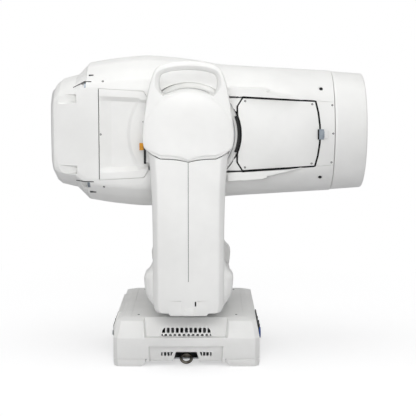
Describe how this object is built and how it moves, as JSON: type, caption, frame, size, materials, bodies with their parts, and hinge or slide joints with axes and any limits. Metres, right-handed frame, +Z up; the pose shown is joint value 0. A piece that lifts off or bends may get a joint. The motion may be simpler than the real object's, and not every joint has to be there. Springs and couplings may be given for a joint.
{
  "type": "moving-head follow spot",
  "caption": "Large white moving-head spotlight: tapered horizontal lamp head held between two yoke arms with handles, turning on a ventilated floor base.",
  "frame": {"origin": "on the pan axis, on the flat underside of the base chassis plate (the feet reach 12 mm lower)", "axes": "+Z up along the pan axis, +X the way the beam points at rest, +Y to the left of the beam; the tilt axis runs along Y at z = 0.518 m"},
  "size_m": [0.739, 0.504, 0.71],
  "materials": {
    "white_plastic": "satin",
    "black_plastic": "satin",
    "steel": "satin",
    "aluminium": "satin",
    "rubber": "matte",
    "glass": "gloss",
    "yellow_plastic": "satin",
    "blue_plastic": "satin",
    "black_metal": "satin"
  },
  "bodies": {
    "base": {"base_cover": "white_plastic", "base_chassis": "aluminium", "foot_front_right": "white_plastic", "foot_front_left": "white_plastic", "foot_rear_right": "white_plastic", "foot_rear_left": "white_plastic", "pan_bearing": "steel", "pan_motor": "black_metal", "pan_belt": "rubber", "power_supply": "aluminium", "display_panel": "black_plastic", "connector_panel": "black_plastic", "power_inlet": "blue_plastic", "data_in": "black_plastic", "data_out": "black_plastic", "safety_eye": "steel"},
    "yoke": {"pan_driven_pulley": "aluminium", "yoke_frame": "aluminium", "tilt_bearing_right": "steel", "tilt_bearing_left": "steel", "tilt_motor": "black_metal", "tilt_belt": "rubber", "crossbar_cover": "white_plastic", "right_arm_cap": "white_plastic", "right_arm_cover": "white_plastic", "right_arm_inner_cover": "white_plastic", "left_arm_cap": "white_plastic", "left_arm_cover": "white_plastic", "left_arm_inner_cover": "white_plastic"},
    "head": {"head_top_cover": "white_plastic", "head_bottom_cover": "white_plastic", "right_side_cover": "white_plastic", "right_service_door": "white_plastic", "right_front_panel": "white_plastic", "left_side_cover": "white_plastic", "left_service_door": "white_plastic", "left_front_panel": "white_plastic", "rear_cover": "white_plastic", "front_hood": "white_plastic", "lens_retainer": "black_plastic", "front_lens": "glass", "head_chassis": "aluminium", "tilt_driven_pulley": "aluminium", "light_engine": "black_metal", "heatsink": "aluminium"},
    "pan_drive": {"pan_drive_pulley": "aluminium"},
    "menu_wheel": {"menu_wheel": "black_plastic"},
    "enter_button": {"enter_button": "aluminium"},
    "power_switch": {"power_switch": "black_plastic"},
    "tilt_drive": {"tilt_drive_pulley": "aluminium"},
    "tilt_lock": {"tilt_lock_slider": "yellow_plastic"},
    "pan_lock": {"pan_lock_slider": "yellow_plastic"},
    "right_latch": {"right_door_latch": "steel"},
    "left_latch": {"left_door_latch": "steel"},
    "fan": {"cooling_fan": "black_plastic"},
    "colour_wheel": {"colour_wheel": "steel"},
    "gobo_wheel": {"gobo_wheel": "steel"},
    "iris": {"iris_ring": "black_plastic"},
    "focus": {"focus_carriage": "black_plastic"},
    "zoom": {"zoom_carriage": "black_plastic"}
  },
  "joints": [
    {"name": "pan", "type": "hinge", "parent": "base", "child": "yoke", "pos_m": [0, 0, 0.1], "axis": [0, 0, 1], "range_deg": [-270, 270]},
    {"name": "pan_drive_turn", "type": "hinge", "parent": "base", "child": "pan_drive", "pos_m": [0, 0.112, 0.076], "axis": [0, 0, 1], "range_deg": [-1621, 1621]},
    {"name": "tilt", "type": "hinge", "parent": "yoke", "child": "head", "pos_m": [0, 0, 0.518], "axis": [0, -1, 0], "range_deg": [-42.5, 222.5]},
    {"name": "tilt_drive_turn", "type": "hinge", "parent": "yoke", "child": "tilt_drive", "pos_m": [0, 0.178, 0.378], "axis": [0, -1, 0], "range_deg": [-213, 1113]},
    {"name": "tilt_lock_slide", "type": "slide", "parent": "yoke", "child": "tilt_lock", "axis": [0, 0, 1], "range_m": [0, 0.016]},
    {"name": "pan_lock_slide", "type": "slide", "parent": "yoke", "child": "pan_lock", "axis": [0, 1, 0], "range_m": [0, 0.016]},
    {"name": "left_latch_swing", "type": "hinge", "parent": "head", "child": "left_latch", "pos_m": [0.318, 0.1488, 0.518], "axis": [0, 0, -1], "range_deg": [0, 110]},
    {"name": "right_latch_swing", "type": "hinge", "parent": "head", "child": "right_latch", "pos_m": [0.318, -0.1488, 0.518], "axis": [0, 0, 1], "range_deg": [0, 110]},
    {"name": "fan_spin", "type": "hinge", "parent": "head", "child": "fan", "pos_m": [-0.299, 0, 0.518], "axis": [1, 0, 0], "continuous": true},
    {"name": "colour_wheel_spin", "type": "hinge", "parent": "head", "child": "colour_wheel", "pos_m": [-0.061, 0, 0.578], "axis": [1, 0, 0], "continuous": true},
    {"name": "gobo_wheel_spin", "type": "hinge", "parent": "head", "child": "gobo_wheel", "pos_m": [-0.051, 0, 0.458], "axis": [1, 0, 0], "continuous": true},
    {"name": "iris_turn", "type": "hinge", "parent": "head", "child": "iris", "pos_m": [-0.037, 0, 0.518], "axis": [1, 0, 0], "range_deg": [0, 60]},
    {"name": "zoom_travel", "type": "slide", "parent": "head", "child": "zoom", "axis": [1, 0, 0], "range_m": [0, 0.12]},
    {"name": "focus_travel", "type": "slide", "parent": "head", "child": "focus", "axis": [1, 0, 0], "range_m": [0, 0.06]},
    {"name": "menu_wheel_turn", "type": "hinge", "parent": "base", "child": "menu_wheel", "pos_m": [-0.185, 0.058, 0.033], "axis": [1, 0, 0], "continuous": true},
    {"name": "enter_button_push", "type": "slide", "parent": "base", "child": "enter_button", "axis": [1, 0, 0], "range_m": [0, 0.0014], "stiffness_N_per_m": 400, "springref_m": -0.001},
    {"name": "power_switch_rock", "type": "hinge", "parent": "base", "child": "power_switch", "pos_m": [0.166, 0.063, 0.034], "axis": [0, 1, 0], "range_deg": [-10, 0]}
  ],
  "couplings": [
    {"joint": "pan_drive_turn", "follows": "pan", "ratio": 6},
    {"joint": "tilt_drive_turn", "follows": "tilt", "ratio": 5}
  ]
}
